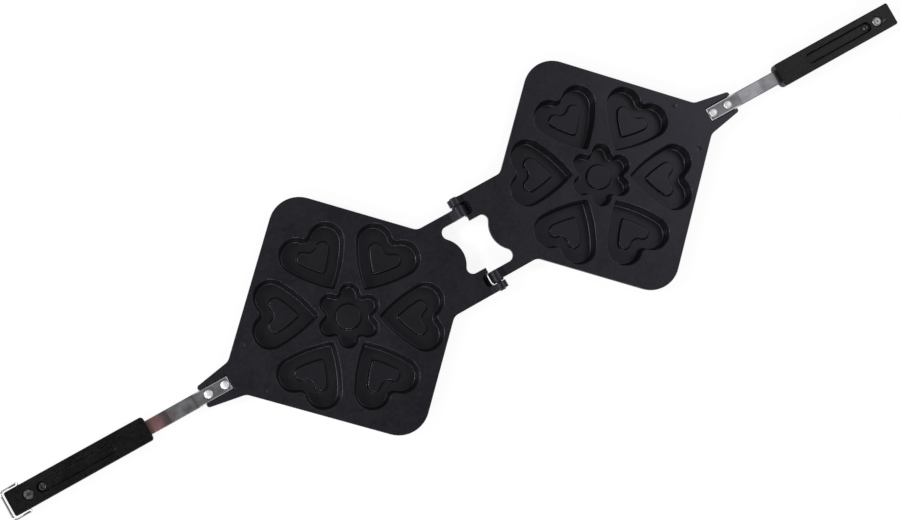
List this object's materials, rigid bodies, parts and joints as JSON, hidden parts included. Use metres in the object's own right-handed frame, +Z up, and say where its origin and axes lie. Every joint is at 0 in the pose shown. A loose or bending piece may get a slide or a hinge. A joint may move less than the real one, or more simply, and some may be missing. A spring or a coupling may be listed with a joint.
{
  "type": "heart waffle iron",
  "caption": "Long-handled stovetop waffle iron lying open: two hinged square cast plates with heart and flower cavities, riveted straps, black grips and a wire locking bail.",
  "frame": {"origin": "middle of the open iron's footprint, on the table it lies on", "axes": "+X from the left grip to the right grip, +Y along the hinge axis, +Z up from the table"},
  "size_m": [0.8194, 0.2064, 0.02],
  "materials": {
    "nonstick_coating": "satin black non-stick coating on cast aluminium",
    "blackened_steel": "dark oiled steel",
    "strap_steel": "plain steel strip, lengthwise grain",
    "rivet_aluminium": "bright set rivet heads",
    "bakelite": "moulded black bakelite, dull",
    "plated_steel": "bright zinc plate",
    "bail_wire": "bright drawn wire"
  },
  "bodies": {
    "left_half": {"waffle_plate_left": "nonstick_coating", "hinge_pin_left": "blackened_steel", "handle_strap_left": "strap_steel", "strap_rivet_inner_left": "rivet_aluminium", "strap_rivet_outer_left": "rivet_aluminium", "grip_screw_left": "plated_steel", "grip_nut_left": "plated_steel", "tang_eyelet_left": "plated_steel", "grip_left": "bakelite"},
    "right_half": {"waffle_plate_right": "nonstick_coating", "hinge_pin_right": "blackened_steel", "handle_strap_right": "strap_steel", "strap_rivet_inner_right": "rivet_aluminium", "strap_rivet_outer_right": "rivet_aluminium", "grip_screw_right": "plated_steel", "grip_nut_right": "plated_steel", "tang_eyelet_right": "plated_steel", "grip_right": "bakelite"},
    "bail": {"locking_bail": "bail_wire"}
  },
  "joints": [
    {"name": "fold_hinge", "type": "hinge", "parent": "left_half", "child": "right_half", "pos_m": [0.0024, 0, 0.0147], "axis": [0, -1, 0], "range_deg": [0, 180]},
    {"name": "bail_pivot", "type": "hinge", "parent": "left_half", "child": "bail", "pos_m": [-0.3931, 0, 0.0117], "axis": [0, 1, 0], "range_deg": [-55, 157]}
  ]
}
